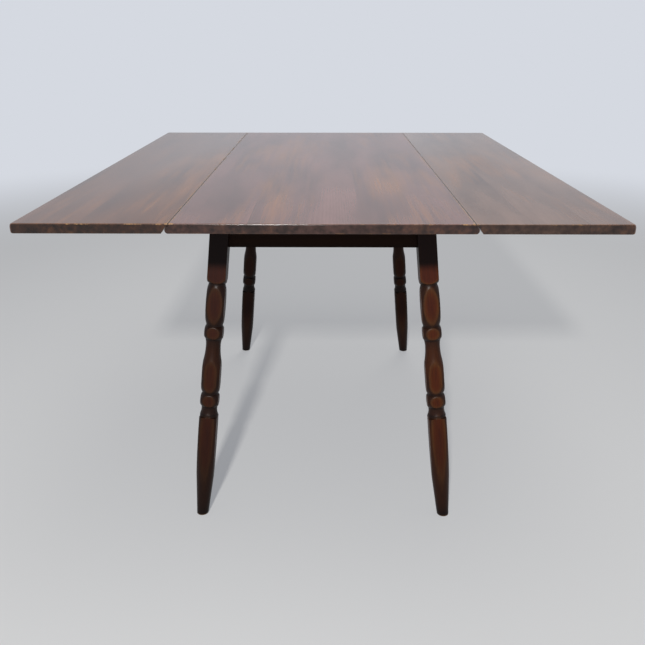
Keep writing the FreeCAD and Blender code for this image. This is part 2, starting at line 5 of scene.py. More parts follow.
import bmesh
import bpy
from bpy.props import FloatProperty, FloatVectorProperty, IntProperty, PointerProperty
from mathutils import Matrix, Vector


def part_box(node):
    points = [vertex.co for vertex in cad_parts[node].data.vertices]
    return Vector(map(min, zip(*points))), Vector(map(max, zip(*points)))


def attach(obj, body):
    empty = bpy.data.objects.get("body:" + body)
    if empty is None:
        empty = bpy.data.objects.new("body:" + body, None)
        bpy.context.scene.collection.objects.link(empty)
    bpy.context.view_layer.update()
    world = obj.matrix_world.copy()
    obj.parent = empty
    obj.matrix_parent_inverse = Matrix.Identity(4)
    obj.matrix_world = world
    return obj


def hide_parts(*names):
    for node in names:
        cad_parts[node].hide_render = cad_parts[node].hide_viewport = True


bl_info = {
    "name": "Drop-leaf table finishes",
    "version": (1, 0, 0),
    "blender": (4, 5, 0),
    "location": "3D View > Sidebar > Drop-leaf table",
    "description": "Rounded leaves, turned legs, slotted screws and finishes for a table",
    "category": "Object",
}

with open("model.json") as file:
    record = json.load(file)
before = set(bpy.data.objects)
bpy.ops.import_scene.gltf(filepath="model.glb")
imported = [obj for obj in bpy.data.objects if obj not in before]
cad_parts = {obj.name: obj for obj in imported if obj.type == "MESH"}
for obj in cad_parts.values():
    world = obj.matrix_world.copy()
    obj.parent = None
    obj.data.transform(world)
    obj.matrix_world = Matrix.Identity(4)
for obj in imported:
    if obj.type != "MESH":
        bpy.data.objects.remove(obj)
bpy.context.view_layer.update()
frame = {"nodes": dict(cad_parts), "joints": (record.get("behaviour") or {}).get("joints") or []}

MM = 0.001
CORNERS = {
    "front_left": (-1, -1),
    "front_right": (1, -1),
    "back_left": (-1, 1),
    "back_right": (1, 1),
}
SIDES = ("left", "right")
# Painted shade on each leg, darker on the left and back legs as if lit from the front right; 0 is the
# palest leg.
LEG_PAINTED_SHADE = {"front_left": 0.52, "front_right": 0.0, "back_left": 0.5, "back_right": 0.25}
TAU = 2 * math.pi
# Points closer than this are one point.
HAIR = 0.002 * MM
# The kinds of node that come up most.
MATH = "ShaderNodeMath"
VECTOR_MATH = "ShaderNodeVectorMath"
MAP_RANGE = "ShaderNodeMapRange"
NOISE = "ShaderNodeTexNoise"
MIX = "ShaderNodeMix"


# ---- small helpers ----
def linear(code):
    """sRGB hex code to the linear red, green and blue that shaders use."""
    channels = [int(code[place:place + 2], 16) / 255 for place in (1, 3, 5)]
    return [c / 12.92 if c <= 0.04045 else ((c + 0.055) / 1.055) ** 2.4 for c in channels]


def opaque(colour):
    """A colour with its alpha, as sockets take it."""
    return (*colour, 1.0)


def up_to_one(value):
    """The value, kept between 0 and 1."""
    return min(1.0, max(0.0, value))


def length(name, description, millimetres):
    """A size that is kept in metres."""
    return FloatProperty(
        name=name, description=description, default=millimetres * MM, unit="LENGTH", precision=4)


def angle(name, description, degrees):
    """An angle that is kept in radians."""
    return FloatProperty(
        name=name, description=description, default=math.radians(degrees), subtype="ANGLE")


def share(name, description, default):
    """A part of a whole, from 0 to 1."""
    return FloatProperty(
        name=name, description=description, default=default, subtype="FACTOR", min=0, max=1)


def tint(name, description, code):
    """A colour from its sRGB hex code."""
    return FloatVectorProperty(
        name=name, description=description, default=linear(code), subtype="COLOR", min=0, max=1)


def add(tree, kind, inputs=(), **settings):
    """Adds a node with its settings. The inputs are in the node's order, or by name or place.
    Each is a value, a socket to link, or a node, which gives its first output in use."""
    node = tree.nodes.new(kind)
    for key, value in settings.items():
        setattr(node, key, value)
    for key, value in inputs.items() if isinstance(inputs, dict) else enumerate(inputs):
        if isinstance(value, bpy.types.Node):
            value = next(socket for socket in value.outputs if socket.enabled)
        if isinstance(value, bpy.types.NodeSocket):
            tree.links.new(value, node.inputs[key])
        else:
            node.inputs[key].default_value = value
    return node


def new_material(name):
    """An empty material and its tree."""
    material = bpy.data.materials.new(name)
    material.use_nodes = True
    material.node_tree.nodes.clear()
    return material, material.node_tree


def new_object(name, data):
    """A new object at the origin, with its mesh, lamp or camera."""
    made = bpy.data.objects.new(name, data)
    bpy.context.scene.collection.objects.link(made)
    return made


def give(node_name, material):
    """Puts a material on a CAD node in place of its own."""
    mesh = frame["nodes"][node_name].data
    mesh.materials.clear()
    mesh.materials.append(material)


def lathe(name, rows, segments):
    """Closed mesh of revolution about Z from (height, radius) rows, low end first."""
    turns = [TAU * step / segments for step in range(segments)]
    verts = [(radius * math.cos(turn), radius * math.sin(turn), height)
             for height, radius in rows for turn in turns]

    def ring(row):
        """Each point of a row with the next one round."""
        start = row * segments
        return [(start + step, start + (step + 1) % segments) for step in range(segments)]

    faces = [(here, beside, beside + segments, here + segments)
             for row in range(len(rows) - 1) for here, beside in ring(row)]
    # Each end is closed by a fan of triangles round a point in its middle.
    middle = len(verts)
    faces += [(middle, beside, here) for here, beside in ring(0)]
    faces += [(middle + 1, here, beside) for here, beside in ring(len(rows) - 1)]
    verts += [(0, 0, rows[0][0]), (0, 0, rows[-1][0])]
    mesh = bpy.data.meshes.new(name)
    mesh.from_pydata(verts, [], faces)
    mesh.validate()
    return mesh


def discard(made):
    """Removes an object and its mesh."""
    mesh = made.data
    bpy.data.objects.remove(made)
    bpy.data.meshes.remove(mesh)


def merged(mesh):
    """An editable copy of a mesh, with its doubles merged."""
    work = bmesh.new()
    work.from_mesh(mesh)
    bmesh.ops.remove_doubles(work, verts=work.verts, dist=HAIR)
    return work


def plain_object(host, name):
    """The result of host's modifiers as an object with a closed, plain mesh whose faces
    point outwards. Host goes away."""
    graph = bpy.context.evaluated_depsgraph_get()
    mesh = bpy.data.meshes.new_from_object(host.evaluated_get(graph))
    mesh.name = name
    discard(host)
    work = merged(mesh)
    bmesh.ops.recalc_face_normals(work, faces=work.faces)
    work.to_mesh(mesh)
    work.free()
    return new_object(name, mesh)


def new_tree(name, inputs, output):
    """An empty Geometry Nodes tree with its sockets, and what its input node gives."""
    tree = bpy.data.node_groups.new(name, "GeometryNodeTree")
    for socket, kind in inputs.items():
        tree.interface.new_socket(socket, in_out="INPUT", socket_type="NodeSocket" + kind)
    tree.interface.new_socket(output, in_out="OUTPUT", socket_type="NodeSocketGeometry")
    return tree, add(tree, "NodeGroupInput").outputs


def close_tree(tree, shape, material):
    """Ends a tree in real geometry with its material on."""
    shape = add(tree, "GeometryNodeRealizeInstances", {"Geometry": shape})
    shape = add(tree, "GeometryNodeSetMaterial", {"Geometry": shape, "Material": material})
    add(tree, "NodeGroupOutput", (shape,))


def use_tree(host, tree, values):
    """Adds a nodes modifier to host and sets its named inputs by their identifiers."""
    modifier = host.modifiers.new(tree.name, "NODES")
    modifier.node_group = tree
    names = {item.name: item.identifier for item in tree.interface.items_tree
             if item.item_type == "SOCKET" and item.in_out == "INPUT"}
    for name, value in values.items():
        modifier[names[name]] = value


# ---- settings ----
class LeafSizes(bpy.types.PropertyGroup):
    """The outer long edges of the leaves, rounded over for the hand."""
    upper_reach: length("Upper reach", "How far the upper rounding eats into the edge", 4.0)
    upper_drop: length("Upper drop", "How far down the edge the upper rounding goes", 9.0)
    lower_reach: length("Lower reach", "How far the lower rounding eats into the edge", 1.2)
    lower_rise: length("Lower rise", "How far up the edge the lower rounding goes", 6.0)
    margin: length("Margin", "Strip of the leaf that takes up the rounding", 20.0)
    rows: IntProperty(name="Rows", description="Rows of faces over each rounding", default=8, min=3)
    crease: angle("Crease", "Edges that bend more than this stay sharp", 24.0)


class LegSizes(bpy.types.PropertyGroup):
    """The turned legs, from the floor up along a leg's axis."""
    stock: length("Stock", "Side of the square stock", 40.0)
    ease: length("Eased corner", "Rounding on the stock's long corners", 1.5)
    blend: length("Softness", "How far sanding softens the edge of a flat", 0.5)
    crease: angle("Crease", "Edges that bend more than this stay sharp", 32.0)
    splay_x: angle("Side splay", "Lean towards the leaves", 5.7)
    splay_y: angle("End splay", "Lean towards the table's ends", 8.5)
    foot_radius: length("Foot radius", "Radius at the floor", 13.2)
    knee_height: length("Knee height", "Where the straight taper ends", 130.0)
    knee_radius: length("Knee radius", "Radius at the knee", 22.3)
    belly_radius: length("Belly radius", "Largest radius of the taper", 25.0)
    taper_height: length("Taper height", "Top of the taper", 247.0)
    taper_top_radius: length("Taper top radius", "Radius at the top of the taper", 24.3)
    ring_height: length("Ring height", "Small ring over the taper", 6.0)
    ring_radius: length("Ring radius", "Radius of the small ring", 20.2)
    cove_height: length("Cove height", "Cove over the ring", 19.0)
    cove_radius: length("Cove radius", "Radius at the cove's waist", 17.7)
    bead_height: length("Bead height", "Height of each bead", 30.0)
    bead_radius: length("Bead radius", "Radius of each bead before the flats", 24.2)
    groove_height: length("Groove height", "Height of each groove", 3.0)
    groove_radius: length("Groove radius", "Radius at the bottom of a groove", 18.2)
    vase_base: length("Vase base", "Height of the vase's rounded base", 28.0)
    vase_crown: length("Vase crown", "Height of the vase's crown", 35.0)
    vase_sweep: length("Vase sweep", "Height of the hollow sweep up to the neck", 44.0)
    vase_radius: length("Vase radius", "Radius of the vase before the flats", 24.3)
    vase_fall: length("Vase fall", "How much smaller the crown starts", 0.3)
    vase_shoulder: length("Vase shoulder", "Radius where the sweep starts", 23.1)
    neck_height: length("Neck height", "Height of the neck", 18.0)
    neck_radius: length("Neck radius", "Radius of the neck", 16.3)
    barrel_height: length("Barrel height", "Height of the barrel", 89.0)
    barrel_radius: length("Barrel radius", "Radius of the barrel before the flats", 25.7)
    shoulder_height: length("Shoulder", "Rounded start of the square block", 15.0)
    arc_step: length("Row spacing", "Distance between rows of faces on a curve", 1.5)
    line_step: length("Straight row spacing", "Distance between rows on a straight run", 4.0)
    segments: IntProperty(
        name="Segments", description="Faces round a leg, a multiple of eight", default=128, min=32)


class ScrewSizes(bpy.types.PropertyGroup):
    """Wood screws with slotted heads."""
    slot_width: length("Slot width", "Width of the driver slot", 0.9)
    slot_depth: length("Slot depth", "Depth of the driver slot", 1.0)
    point: length("Point", "Length of the screw's point", 3.0)
    hinge_shank: length("Leaf hinge shank", "Shank radius of the leaf hinges' screws", 1.7)
    wing_shank: length("Wing hinge shank", "Shank radius of the wing hinges' screws", 1.4)
    frame_shank: length("Frame shank", "Shank radius of the blocks' and the top's screws", 2.0)
    segments: IntProperty(name="Segments", description="Faces round a screw", default=24, min=8)
    seed: IntProperty(name="Seed", description="Which way the slots happen to stand", default=7)


class Finishes(bpy.types.PropertyGroup):
    """Colours of the stains, bare wood and metals, and the wood's boards and rings."""
    top_dark: tint("Top, dark", "Walnut stain where it took deepest", "#462f28")
    top_light: tint("Top, light", "Walnut stain where it took least, on the centre", "#93675f")
    left_light: tint("Left leaf, light", "The same on the left leaf", "#80553c")
    right_light: tint("Right leaf, light", "The same on the right leaf", "#967563")
    top_sawn: tint("Top, sawn edges", "Stain soaked into the sawn edges", "#241814")
    left_sawn: tint("Left leaf, sawn edges", "The same on the left leaf", "#1b120f")
    joint: tint("Joint", "Stain and dirt on what the rule joints hide", "#1b120f")
    top_under: tint("Top, underneath", "Thin stain without lacquer on the underside", "#745542")
    top_rubbed: tint("Top, rubbed", "Stain rubbed thin by use", "#a56c3e")
    bare: tint("Bare edge", "Maple showing at worn edges", "#a67c4c")
    leg_turned: tint("Leg, turned", "Stain on the turned surfaces", "#2f1b13")
    leg_handled: tint("Leg, handled", "The same on the neck and taper, where hands rub it", "#402111")
    leg_flat: tint("Leg, flat", "Red-brown stain on the flats", "#4c230e")
    leg_heart: tint("Leg, flat's middle", "Stain in the middle of a flat", "#441b0e")
    leg_rim: tint("Leg, rim", "Stain rubbed thin round a flat", "#57351c")
    # Also the colour of the painted shadow on the legs' blocks, of each leg's painted shade and of the
    # painted shade on the tapers.
    crevice: tint("Crevice", "Stain and dirt in the grooves", "#120a08")
    frame_dark: tint("Frame, dark", "Stain on the aprons where it took deepest", "#1c100b")
    frame_light: tint("Frame, light", "Stain on the aprons where it took least", "#2f1c14")
    plate: tint("Hinge plate", "Dulled plated steel", "#8d867a")
    rust: tint("Rust", "Tarnish and dirt on the steel", "#5a4230")
    screw: tint("Screw", "Plated steel screws", "#a39c8f")
    glide: tint("Glide", "Worn steel of the foot glides", "#b9b7b1")
    board_width: length("Board width", "Boards glued up into the panels", 98.0)
    ring_gap: length("Ring gap", "Growth rings, as far apart as on slow-grown maple", 2.6)


class StageSizes(bpy.types.PropertyGroup):
    """Camera, even light, floor and backdrop."""
    camera_place: FloatVectorProperty(
        name="Camera", description="Where the camera stands", default=(0.010, -1.750, 1.029),
        subtype="TRANSLATION")
    camera_pitch: angle("Pitch", "How far the camera looks down", 22.68)
    camera_yaw: angle("Yaw", "How far the camera turns to the left", 0.45)
    lens: FloatProperty(
        name="Focal length", description="In millimetres, for a 36 mm sensor", default=37.62,
        subtype="DISTANCE_CAMERA")
    floor_radius: length("Floor radius", "Radius of the round floor", 7000.0)
    floor_fade: length("Floor fade", "Where the floor starts to fade into the backdrop", 2200.0)
    floor_glow: share("Floor glow", "How far the floor takes the backdrop's tone", 0.4)
    even_light: share("Even light", "Strength of the light from all round", 0.16)
    floor: tint("Floor", "Plain pale floor", "#dcdad5")
    floor_bounce: tint("Floor's bounce", "Light that the floor throws up at the table", "#97928a")
    backdrop: tint("Backdrop", "Plain pale backdrop", "#d5d9e1")


SETTINGS = {
    "table_leaves": LeafSizes,
    "table_legs": LegSizes,
    "table_screws": ScrewSizes,
    "table_finishes": Finishes,
    "table_stage": StageSizes,
}


# ---- wood ----
def maple(tree, place, board_width, ring_gap, seed):
    """Flat-sawn maple glued up from boards, with its grain along Y.
    Gives four values from 0 to 1: growth rings, fibres, cloudy stain, and a board's own tone."""
    spread = add(tree, "ShaderNodeSeparateXYZ", (place,))
    board = add(tree, MATH, (spread.outputs[0], 1 / board_width, seed + 0.31),
                operation="MULTIPLY_ADD")
    board = add(tree, MATH, (board,), operation="FLOOR")
    chance = add(tree, "ShaderNodeTexWhiteNoise", {"W": board}, noise_dimensions="1D")
    # Each board was cut at another distance from its tree's heart.
    shift = add(tree, VECTOR_MATH,
                (chance.outputs["Color"], (0.16, 1.7, 0.05), place), operation="MULTIPLY_ADD")
    heart = add(tree, VECTOR_MATH, (shift, (-0.08, 0.0, -0.66)), operation="ADD")
    drawn_out = add(tree, VECTOR_MATH, (heart, (1.0, 0.06, 1.0)), operation="MULTIPLY")
    rings = add(tree, "ShaderNodeTexWave",
                {"Vector": drawn_out, "Scale": TAU / (20 * ring_gap), "Distortion": 9.0, "Detail": 3.0,
                 "Detail Scale": 0.09, "Detail Roughness": 0.55},
                wave_type="RINGS", rings_direction="Y")
    # Fibres are finer than this in maple; they are drawn 1.2 mm wide so that they show.
    along = add(tree, VECTOR_MATH, (shift, (1.0, 0.035, 1.0)), operation="MULTIPLY")
    fibres = add(tree, NOISE,
                 {"Vector": along, "Scale": 1 / (1.2 * MM), "Detail": 3.0, "Roughness": 0.6})
    clouds = add(tree, VECTOR_MATH, (shift, (1.0, 0.2, 1.0)), operation="MULTIPLY")
    clouds = add(tree, NOISE,
                 {"Vector": clouds, "Scale": 1 / (75 * MM), "Detail": 3.0, "Roughness": 0.5})
    return rings.outputs["Fac"], fibres.outputs[0], clouds.outputs[0], chance.outputs["Value"]


def weighted(tree, terms, start):
    """start plus each (socket, weight) of the terms."""
    total = start
    for socket, weight in terms:
        total = add(tree, MATH, (socket, weight, total), operation="MULTIPLY_ADD")
    return total


def finish_material(tree, base, layers, roughness, height, bump_mm, **sockets):
    """Ends a material in one Principled shader with its bump. Its colour is the base under
    the layers, a (cover, colour) each, in their order."""
    colour = opaque(base)
    for cover, coat in layers:
        coat = coat if isinstance(coat, bpy.types.Node) else opaque(coat)
        colour = add(tree, MIX, {0: cover, 6: colour, 7: coat}, data_type="RGBA")
    bump = add(tree, "ShaderNodeBump", {"Height": height, "Strength": 1.0, "Distance": bump_mm * MM})
    inputs = {"Base Color": colour, "Roughness": roughness, "Normal": bump}
    inputs.update({name.replace("_", " "): value for name, value in sockets.items()})
    shader = add(tree, "ShaderNodeBsdfPrincipled", inputs)
    add(tree, "ShaderNodeOutputMaterial", {"Surface": shader})


def satin_top_maple(finish, name, light, sawn_stain, seed, arris_wear, seam_wear):
    """Walnut-stained maple under satin lacquer, hand-rubbed for decades.

    The stain lies cloudy and dark over faint lengthwise grain, is rubbed to a yellower brown
    in streaks, and is worn through to pale wood along the arrises and the seams' lips, most
    of all at the seams' ends. The underside has a thin, dull stain and no lacquer."""
    material, tree = new_material("walnut_stained_maple_" + name)
    low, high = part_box("top_centre")
    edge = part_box("leaf_right")[1].x
    seam = next(joint["pos_m"][0] for joint in frame["joints"] if joint["name"] == "leaf_right_hinge")
    nose = high.x - seam
    arris = 2.2 * MM
    place = add(tree, "ShaderNodeTexCoord").outputs["Object"]
    rings, fibres, clouds, tone = maple(tree, place, finish.board_width, finish.ring_gap, seed)
    thin = weighted(tree, [(rings, 0.08), (fibres, 0.4), (clouds, 1.4), (tone, 0.12)], -0.5)

    # Rubbed patches are some 130 mm across and three times as long, and broken into streaks
    # 12 mm wide. Knocks come every 28 mm or so.
    patterns = []
    for width, stretch, detail, roughness in (
            (130, 0.3, 2.0, 0.5), (12, 0.05, 3.0, 0.6), (28, 1.0, 5.0, 0.7)):
        drawn_out = add(tree, VECTOR_MATH, (place, (1.0, stretch, 1.0)), operation="MULTIPLY")
        patterns.append(add(tree, NOISE,
                            {"Vector": drawn_out, "W": seed, "Scale": 1 / (width * MM),
                             "Detail": detail, "Roughness": roughness}, noise_dimensions="4D"))
    patches, streaks, knocks = patterns
    rubbed = weighted(tree, [(patches, 2.6), (streaks, 1.6)], -2.15)

    # Distances out past the outer arrises, up or down past them, and out from the seams. A
    # leaf's long edge counts as it was before it was rounded over.
    spread = add(tree, "ShaderNodeSeparateXYZ", (place,)).outputs
    inset = add(tree, "ShaderNodeAttribute", attribute_name="inset").outputs["Fac"]
    across = add(tree, MATH, (spread[0],), operation="ABSOLUTE")
    across = add(tree, MATH, (across, inset), operation="ADD")
    along = add(tree, MATH, (spread[1],), operation="ABSOLUTE")
    side = add(tree, MATH, (across, edge - arris), operation="SUBTRACT")
    end = add(tree, MATH, (along, high.y - arris), operation="SUBTRACT")
    outer = add(tree, MATH, (side, end), operation="MAXIMUM")
    upper = add(tree, MATH, (spread[2], high.z - arris), operation="SUBTRACT")
    lower = add(tree, MATH, (low.z + arris, spread[2]), operation="SUBTRACT")
    top_arris = add(tree, MATH, (outer, upper), operation="MINIMUM")
    low_arris = add(tree, MATH, (outer, lower), operation="MINIMUM")
    from_seam = add(tree, MATH, (across, seam), operation="SUBTRACT")
    off_seam = add(tree, MATH, (from_seam,), operation="ABSOLUTE")
    # The corners at the seams' ends are chipped, further along the edge than along the seam.
    aside = add(tree, MATH, (from_seam, 0.4), operation="MULTIPLY")
    corner = add(tree, "ShaderNodeCombineXYZ", (aside, end))
    corner = add(tree, VECTOR_MATH, (corner,), operation="LENGTH").outputs["Value"]
    corner = weighted(tree, [(streaks, 5 * MM), (knocks, 7 * MM)], corner)

    # Each cover's ramp: the value it is read from, where it starts and ends, and how strong
    # it is at both.
    ramps = {
        "rubbed": (rubbed, 0.0, 0.9, 0.0, 0.8),
        # The sawn edges soak up more stain than the faces, some fibres more than others.
        "on_end": (outer, 0.4 * arris, 0.9 * arris, 0.0, 1.0),
        "soaked": (streaks, 0.35, 0.65, 1.0, 0.76),
        "top_worn": (top_arris, 0.0, 1.0 * MM, 0.0, arris_wear),
        "low_worn": (low_arris, 0.1 * MM, 1.0 * MM, 0.0, 0.4 * arris_wear),
        "nicks": (knocks, 0.55, 0.63, 0.06, 1.0),
        "on_face": (upper, 0.0, 2.0 * MM, 0.0, 1.0),
        "dirt": (off_seam, 1.5 * MM, 0.9 * MM, 0.0, 0.85),
        "lip": (off_seam, 4.5 * MM, 1.5 * MM, 0.0, seam_wear),
        "rubbed_lip": (knocks, 0.42, 0.62, 0.1, 1.0),
        "chips": (corner, 9.6 * MM, 8.4 * MM, 0.0, seam_wear),
        # The nose and the cove, hidden in the joint while the leaf is up, are dark and dull.
        "past_seam": (from_seam, 0.2 * MM, 0.6 * MM, 0.0, 1.0),
        "in_cove": (from_seam, nose + 1.0 * MM, nose + 2.0 * MM, 1.0, 0.0),
        "below": (lower, 0.85 * arris, 0.97 * arris, 0.0, 1.0),
    }
    cover = {part: add(tree, MAP_RANGE, ramp) for part, ramp in ramps.items()}
    for part, operation, first, second in (
            ("sawn", "MULTIPLY", "on_end", "soaked"),
            ("dirt", "MULTIPLY", "dirt", "on_face"),
            ("lip", "MULTIPLY", "lip", "on_face"),
            ("lip", "MULTIPLY", "lip", "rubbed_lip"),
            ("chips", "MULTIPLY", "chips", "on_face"),
            ("worn", "MAXIMUM", "top_worn", "low_worn"),
            ("worn", "MULTIPLY", "worn", "nicks"),
            ("worn", "MAXIMUM", "worn", "lip"),
            ("worn", "MAXIMUM", "worn", "chips"),
            ("shown", "MAXIMUM", "on_face", "on_end"),
            ("shown", "MAXIMUM", "shown", "below"),
            ("hidden", "MULTIPLY", "past_seam", "in_cove"),
            ("hidden", "SUBTRACT", "hidden", "shown")):
        cover[part] = add(tree, MATH, (cover[first], cover[second]),
                          operation=operation, use_clamp=True)
    worn, below, hidden = cover["worn"], cover["below"], cover["hidden"]

    under = weighted(tree, [(clouds, 0.7), (fibres, 0.5)], -0.25)
    under = add(tree, MIX,
                {0: under, 6: opaque(finish.top_sawn), 7: opaque(finish.top_under)}, data_type="RGBA")
    layers = ((thin, light), (cover["rubbed"], finish.top_rubbed), (cover["sawn"], sawn_stain),
              (worn, finish.bare), (cover["dirt"], finish.crevice), (hidden, finish.joint),
              (below, under))
    roughness = weighted(tree, [(worn, 0.2), (below, 0.42), (hidden, 0.35)], 0.18)
    height = weighted(tree, [(fibres, 0.3), (rings, 0.06), (clouds, 2.0)], 0.0)
    finish_material(tree, finish.top_dark, layers, roughness, height, bump_mm=0.07,
                    Specular_IOR_Level=0.4)
    return material


def frame_maple(finish, name, turn):
    """Maple aprons, blocks and wings with one thin coat of dark stain, out of reach of hands.

    They look nearly black-brown and duller than the top, with the grain just showing."""
    material, tree = new_material(name)
    place = add(tree, "ShaderNodeTexCoord").outputs["Object"]
    place = add(tree, "ShaderNodeMapping", {"Vector": place, "Rotation": turn})
    rings, fibres, clouds, tone = maple(tree, place, finish.board_width, finish.ring_gap, seed=11.0)
    thin = weighted(tree, [(rings, 0.35), (fibres, 0.45), (clouds, 0.9), (tone, 0.2)], -0.5)
    roughness = weighted(tree, [(clouds, 0.15), (fibres, 0.1)], 0.5)
    height = weighted(tree, [(fibres, 1.0), (rings, 0.3)], 0.0)
    finish_material(tree, finish.frame_dark, [(thin, finish.frame_light)], roughness, height,
                    bump_mm=0.08, Specular_IOR_Level=0.1)
    return material


def turned_maple(finish):
    """Maple legs, red-brown stain under thin satin lacquer, turned and then rubbed by knees.

    The turned surfaces keep a dark brown, the flats and the handled neck and taper are
    redder, thinner stain rims the flats, and the grooves hold near-black stain and dirt."""
    material, tree = new_material("red_brown_stained_maple_turned")
    own = add(tree, "ShaderNodeAttribute", attribute_name="own").outputs["Vector"]
    over, crevice, handled, painted_block_shadow, painted_leg_shade = (
        add(tree, "ShaderNodeAttribute", attribute_name=mark).outputs["Fac"]
        for mark in ("over", "crevice", "handled", "painted_block_shadow", "painted_leg_shade"))
    stretched = add(tree, VECTOR_MATH, (own, (1.0, 1.0, 0.05)), operation="MULTIPLY")
    fibres, streaks, clouds = (
        add(tree, NOISE,
            {"Vector": vector, "Scale": 1 / (width * MM), "Detail": detail, "Roughness": 0.6})
        for vector, width, detail in ((stretched, 1.6, 3.0), (stretched, 7, 3.0), (own, 30, 4.0)))
    # How far in from its border a place on a flat lies, in millimetres of wood cut away.
    depth = weighted(tree, [(over, 1.0), (streaks, 1.6), (clouds, 1.4)], -1.5)
    up = add(tree, "ShaderNodeSeparateXYZ", (own,)).outputs[2]

    # Each cover's ramp: the value it is read from, where it starts and ends, and how strong
    # it is at both.
    ramps = {
        "rim": (depth, -2.4, 0.6, 0.0, 0.75),
        "flat": (depth, 0.2, 2.8, 0.0, 1.0),
        "heart": (depth, 2.6, 5.4, 0.0, 1.0),
        # Painted shade: the taper is drawn darker more and more towards the foot.
        "painted_foot_shade": (up, 260 * MM, 0.0, 0.0, 0.75),
        "dark_fibre": (fibres, 0.35, 0.62, 0.35, 0.0),
        "scuffed": (up, 45 * MM, 8 * MM, 0.0, 1.0),
        "scuffs": (clouds, 0.42, 0.6, 0.3, 1.0),
        # The lower rim of the foot is knocked and rubbed bare.
        "bare": (up, 5.4 * MM, 4.0 * MM, 0.0, 0.22),
    }
    cover = {part: add(tree, MAP_RANGE, ramp) for part, ramp in ramps.items()}
    dirt = add(tree, MATH, (cover["scuffed"], cover["scuffs"]), operation="MULTIPLY")
    dirt = add(tree, MATH, (dirt, crevice), operation="MAXIMUM")
    dirt = add(tree, MATH, (dirt, 0.75), operation="MULTIPLY")
    bare = add(tree, MATH, (cover["bare"], cover["scuffs"]), operation="MULTIPLY")
    layers = [(handled, finish.leg_handled), (cover["rim"], finish.leg_rim),
              (cover["flat"], finish.leg_flat), (cover["heart"], finish.leg_heart)]
    # Painted shade on the legs: a painted shadow on the blocks' tops, a shade over each whole leg and a
    # shade down the taper, all in the crevice colour.
    layers += [(dark, finish.crevice)
               for dark in (painted_leg_shade, painted_block_shadow, cover["painted_foot_shade"], cover["dark_fibre"], dirt)]
    layers.append((bare, finish.bare))
    roughness = weighted(tree, [(cover["flat"], 0.05), (dirt, 0.1)], 0.36)
    height = weighted(tree, [(fibres, 0.8), (streaks, 0.8)], 0.0)
    finish_material(tree, finish.leg_turned, layers, roughness, height, bump_mm=0.12,
                    Specular_IOR_Level=0.12)
    return material


# ---- metal ----
def dulled_plate_steel(finish):
    """Plated pressed steel hinges, decades old: grey-beige, with brown tarnish in patches."""
    material, tree = new_material("dulled_plated_steel")
    place = add(tree, "ShaderNodeTexCoord").outputs["Object"]
    tarnish = add(tree, NOISE,
                  {"Vector": place, "Scale": 1 / (9 * MM), "Detail": 6.0, "Roughness": 0.7})
    tarnished = add(tree, MAP_RANGE, (tarnish, 0.5, 0.72, 0.0, 0.8))
    rolled = add(tree, VECTOR_MATH, (place, (1.0, 0.08, 1.0)), operation="MULTIPLY")
    rolled = add(tree, NOISE, {"Vector": rolled, "Scale": 1 / (0.5 * MM), "Detail": 2.0})
    roughness = weighted(tree, [(tarnish, 0.3), (tarnished, 0.3)], 0.2)
    height = weighted(tree, [(rolled, 0.4), (tarnish, 0.6)], 0.0)
    finish_material(tree, finish.plate, [(tarnished, finish.rust)], roughness, height,
                    bump_mm=0.05, Metallic=0.9)
    return material


def plated_screw_steel(finish):
    """Bright-plated steel screws, gone slightly dull, darker where the plating is thin."""
    material, tree = new_material("plated_screw_steel")
    place = add(tree, "ShaderNodeTexCoord").outputs["Object"]
    spots = add(tree, NOISE,
                {"Vector": place, "Scale": 1 / (4 * MM), "Detail": 4.0, "Roughness": 0.65})
    spotted = add(tree, MAP_RANGE, (spots, 0.5, 0.7, 0.0, 0.6))
    roughness = weighted(tree, [(spots, 0.35)], 0.15)
    finish_material(tree, finish.screw, [(spotted, finish.rust)], roughness, spots,
                    bump_mm=0.03, Metallic=1.0)
    return material


def worn_glide_steel(finish):
    """Pressed steel glides, scratched bright by the floor, with dirt on their shoulders."""
    material, tree = new_material("worn_glide_steel")
    place = add(tree, "ShaderNodeTexCoord").outputs["Object"]
    scratches = add(tree, NOISE,
                    {"Vector": place, "Scale": 1 / (1.5 * MM), "Detail": 5.0, "Roughness": 0.75})
    dirt = add(tree, MAP_RANGE, (scratches, 0.45, 0.7, 0.0, 0.5))
    roughness = weighted(tree, [(scratches, 0.4)], 0.18)
    finish_material(tree, finish.glide, [(dirt, finish.rust)], roughness, scratches,
                    bump_mm=0.04, Metallic=1.0)
    return material


# ---- leaves ----
def leaf_edge_inset(leaves, above_low, below_high):
    """How far the long edge is rounded back at a height, from its two faces."""
    inset = 0.0
    for reach, run, distance in ((leaves.upper_reach, leaves.upper_drop, below_high),
                                 (leaves.lower_reach, leaves.lower_rise, above_low)):
        inset += reach * (1 - math.sqrt(1 - up_to_one(1 - distance / run) ** 2))
    return inset


